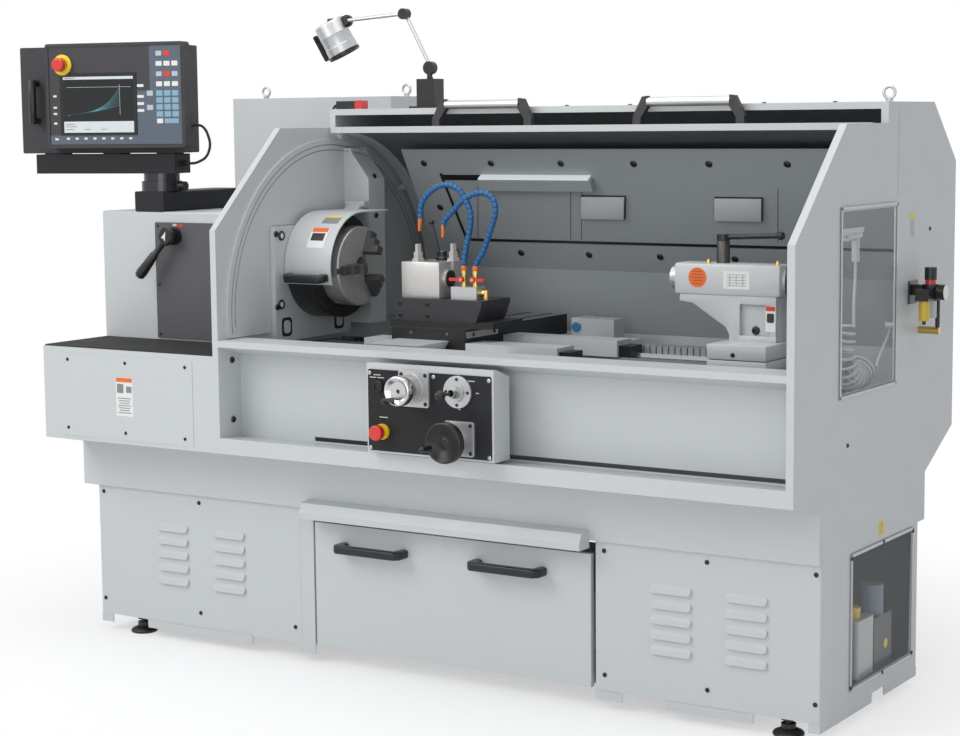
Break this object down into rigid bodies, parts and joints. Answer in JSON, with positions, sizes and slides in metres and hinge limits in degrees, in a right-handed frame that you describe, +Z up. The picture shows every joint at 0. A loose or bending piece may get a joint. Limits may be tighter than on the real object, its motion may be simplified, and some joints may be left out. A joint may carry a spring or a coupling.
{
  "type": "cnc turning lathe",
  "caption": "Flat-bed CNC turning lathe in a pale grey enclosure with a roll-over door, swing-arm console, travelling control box and tailstock",
  "frame": {"origin": "middle of the overall footprint, on the floor", "axes": "+X to the right seen by the operator, from the headstock to the tailstock; +Y to the rear; +Z up"},
  "size_m": [2.759, 1.476, 1.857],
  "materials": {
    "black_plastic": "matte",
    "blue_plastic": "gloss",
    "charcoal": "satin",
    "chrome": "polished",
    "green_plastic": "gloss",
    "grey_paint": "satin",
    "iron": "machined",
    "liner": "satin",
    "paint": "satin",
    "red_plastic": "gloss",
    "rubber": "matte",
    "steel": "ground",
    "window": "smoked"
  },
  "bodies": {
    "machine_base": {"levelling_feet": "steel", "left_cabinet": "paint", "right_cabinet": "paint", "chip_pan": "grey_paint", "left_end_panel": "paint", "right_end_panel": "paint", "front_apron": "grey_paint", "rear_panel": "paint", "splash_liner": "liner", "side_windows": "window", "left_box": "paint", "rubber_mat": "rubber", "headstock_cover": "paint", "gear_panel": "grey_paint", "electrical_cabinet": "paint", "bed": "iron", "headstock": "iron", "pendant_post": "charcoal", "air_regulator": "black_plastic", "lube_unit": "grey_paint", "air_gun": "blue_plastic"},
    "drawer_body": {"drawer": "paint"},
    "spindle_body": {"spindle": "steel", "chuck_body": "steel"},
    "jaw_1": {"chuck_jaw_1": "steel"},
    "jaw_2": {"chuck_jaw_2": "steel"},
    "jaw_3": {"chuck_jaw_3": "steel"},
    "guard_body": {"chuck_guard": "paint"},
    "door_body": {"door_frame": "grey_paint", "door_window": "window", "door_grips": "grey_paint"},
    "carriage_body": {"saddle": "iron", "cable_chain": "black_plastic", "control_box": "grey_paint"},
    "cross_slide_body": {"cross_slide": "iron", "tool_post": "steel", "coolant_manifold": "black_plastic", "coolant_hoses": "blue_plastic"},
    "post_lever_body": {"post_lever": "black_plastic"},
    "valve_a": {"valve_lever_a": "red_plastic"},
    "valve_b": {"valve_lever_b": "red_plastic"},
    "cross_wheel": {"cross_handwheel": "chrome"},
    "carriage_wheel": {"carriage_handwheel": "black_plastic"},
    "joystick_body": {"joystick": "black_plastic"},
    "start_button_body": {"start_button": "green_plastic"},
    "carriage_stop": {"carriage_stop_button": "red_plastic"},
    "tailstock_body": {"tailstock": "iron"},
    "quill_body": {"quill": "steel"},
    "quill_wheel": {"quill_handwheel": "black_plastic"},
    "clamp_body": {"clamp_lever": "black_plastic"},
    "pendant_body": {"pendant_arm": "charcoal", "console": "charcoal", "console_cable": "rubber"},
    "console_stop": {"console_stop_button": "red_plastic"},
    "swivel_lock_body": {"swivel_lock": "black_plastic"},
    "lamp_lower": {"lamp_lower_arm": "charcoal"},
    "lamp_upper": {"lamp_upper_arm": "charcoal"},
    "lamp_head_body": {"lamp_head": "charcoal"},
    "gear_lever_body": {"gear_lever": "black_plastic"},
    "regulator_knob_body": {"regulator_knob": "black_plastic"}
  },
  "joints": [
    {"name": "drawer_slide", "type": "slide", "parent": "machine_base", "child": "drawer_body", "axis": [0, -1, 0], "range_m": [0, 0.5]},
    {"name": "spindle_turn", "type": "hinge", "parent": "machine_base", "child": "spindle_body", "pos_m": [-0.41251, -0.153, 1.114], "axis": [1, 0, 0], "continuous": true},
    {"name": "jaw_1_slide", "type": "slide", "parent": "spindle_body", "child": "jaw_1", "axis": [0, -0.9962, -0.0872], "range_m": [-0.009, 0.008]},
    {"name": "jaw_2_slide", "type": "slide", "parent": "spindle_body", "child": "jaw_2", "axis": [0, 0.4226, 0.9063], "range_m": [-0.009, 0.008]},
    {"name": "jaw_3_slide", "type": "slide", "parent": "spindle_body", "child": "jaw_3", "axis": [0, 0.5736, -0.8192], "range_m": [-0.009, 0.008]},
    {"name": "guard_hinge", "type": "hinge", "parent": "machine_base", "child": "guard_body", "pos_m": [-0.38451, -0.003, 1.284], "axis": [-1, 0, 0], "range_deg": [0, 40]},
    {"name": "door_roll", "type": "hinge", "parent": "machine_base", "child": "door_body", "pos_m": [0.40949, -0.058, 0.99], "axis": [1, 0, 0], "range_deg": [0, 97]},
    {"name": "carriage_slide", "type": "slide", "parent": "machine_base", "child": "carriage_body", "axis": [1, 0, 0], "range_m": [-0.14, 0.2]},
    {"name": "cross_slide", "type": "slide", "parent": "carriage_body", "child": "cross_slide_body", "axis": [0, 1, 0], "range_m": [-0.12, 0.07]},
    {"name": "post_lever_turn", "type": "hinge", "parent": "cross_slide_body", "child": "post_lever_body", "pos_m": [0.02149, -0.158, 1.15], "axis": [0, 0, 1], "range_deg": [0, 60]},
    {"name": "valve_a_turn", "type": "hinge", "parent": "cross_slide_body", "child": "valve_a", "pos_m": [0.13049, -0.233, 1.092], "axis": [0, 1, 0], "range_deg": [0, 90]},
    {"name": "valve_b_turn", "type": "hinge", "parent": "cross_slide_body", "child": "valve_b", "pos_m": [0.16749, -0.233, 1.092], "axis": [0, -1, 0], "range_deg": [0, 90]},
    {"name": "cross_wheel_turn", "type": "hinge", "parent": "carriage_body", "child": "cross_wheel", "pos_m": [0.23449, -0.654, 0.84], "axis": [0, 1, 0], "continuous": true},
    {"name": "carriage_wheel_turn", "type": "hinge", "parent": "carriage_body", "child": "carriage_wheel", "pos_m": [0.37449, -0.656, 0.716], "axis": [0, 1, 0], "continuous": true},
    {"name": "joystick_tilt", "type": "hinge", "parent": "carriage_body", "child": "joystick_body", "pos_m": [0.37149, -0.633, 0.838], "axis": [0, 0, 1], "range_deg": [-8, 8], "stiffness_Nm_per_rad": 0.5},
    {"name": "start_button_press", "type": "slide", "parent": "carriage_body", "child": "start_button_body", "axis": [0, 1, 0], "range_m": [0, 0.004], "stiffness_N_per_m": 800},
    {"name": "carriage_stop_press", "type": "slide", "parent": "carriage_body", "child": "carriage_stop", "axis": [0, 1, 0], "range_m": [0, 0.006], "stiffness_N_per_m": 800},
    {"name": "tailstock_slide", "type": "slide", "parent": "machine_base", "child": "tailstock_body", "axis": [1, 0, 0], "range_m": [-0.08, 0.06]},
    {"name": "quill_slide", "type": "slide", "parent": "tailstock_body", "child": "quill_body", "axis": [-1, 0, 0], "range_m": [0, 0.1]},
    {"name": "quill_wheel_turn", "type": "hinge", "parent": "tailstock_body", "child": "quill_wheel", "pos_m": [1.09749, -0.153, 1.114], "axis": [1, 0, 0], "range_deg": [0, 7200]},
    {"name": "clamp_turn", "type": "hinge", "parent": "tailstock_body", "child": "clamp_body", "pos_m": [0.89349, -0.153, 1.22], "axis": [0, 0, 1], "range_deg": [-60, 60]},
    {"name": "pendant_turn", "type": "hinge", "parent": "machine_base", "child": "pendant_body", "pos_m": [-0.92551, -0.251, 1.36], "axis": [0, 0, 1], "range_deg": [-40, 60]},
    {"name": "console_stop_press", "type": "slide", "parent": "pendant_body", "child": "console_stop", "axis": [-0.2334, 0.9724, 0], "range_m": [0, 0.005], "stiffness_N_per_m": 800},
    {"name": "swivel_lock_turn", "type": "hinge", "parent": "machine_base", "child": "swivel_lock_body", "pos_m": [-0.84251, -0.251, 1.342], "axis": [1, 0, 0], "range_deg": [0, 180]},
    {"name": "lamp_base_joint", "type": "hinge", "parent": "machine_base", "child": "lamp_lower", "pos_m": [-0.17051, 0.077, 1.682], "axis": [0, 1, 0], "range_deg": [-10, 15]},
    {"name": "lamp_elbow_joint", "type": "hinge", "parent": "lamp_lower", "child": "lamp_upper", "pos_m": [-0.25851, 0.077, 1.841], "axis": [0, 1, 0], "range_deg": [-10, 10]},
    {"name": "lamp_head_joint", "type": "hinge", "parent": "lamp_upper", "child": "lamp_head_body", "pos_m": [-0.47151, 0.077, 1.828], "axis": [0, 1, 0], "range_deg": [-15, 15]},
    {"name": "gear_lever_turn", "type": "hinge", "parent": "machine_base", "child": "gear_lever_body", "pos_m": [-0.82451, -0.333, 1.196], "axis": [0, 1, 0], "range_deg": [-45, 45]},
    {"name": "regulator_knob_turn", "type": "hinge", "parent": "machine_base", "child": "regulator_knob_body", "pos_m": [1.33749, 0.162, 1.12], "axis": [0, 0, 1], "range_deg": [0, 330]}
  ],
  "couplings": [
    {"joint": "jaw_2_slide", "follows": "jaw_1_slide", "ratio": 1},
    {"joint": "jaw_3_slide", "follows": "jaw_1_slide", "ratio": 1},
    {"joint": "quill_slide", "follows": "quill_wheel_turn", "m_per_rad": 0.00079577}
  ]
}
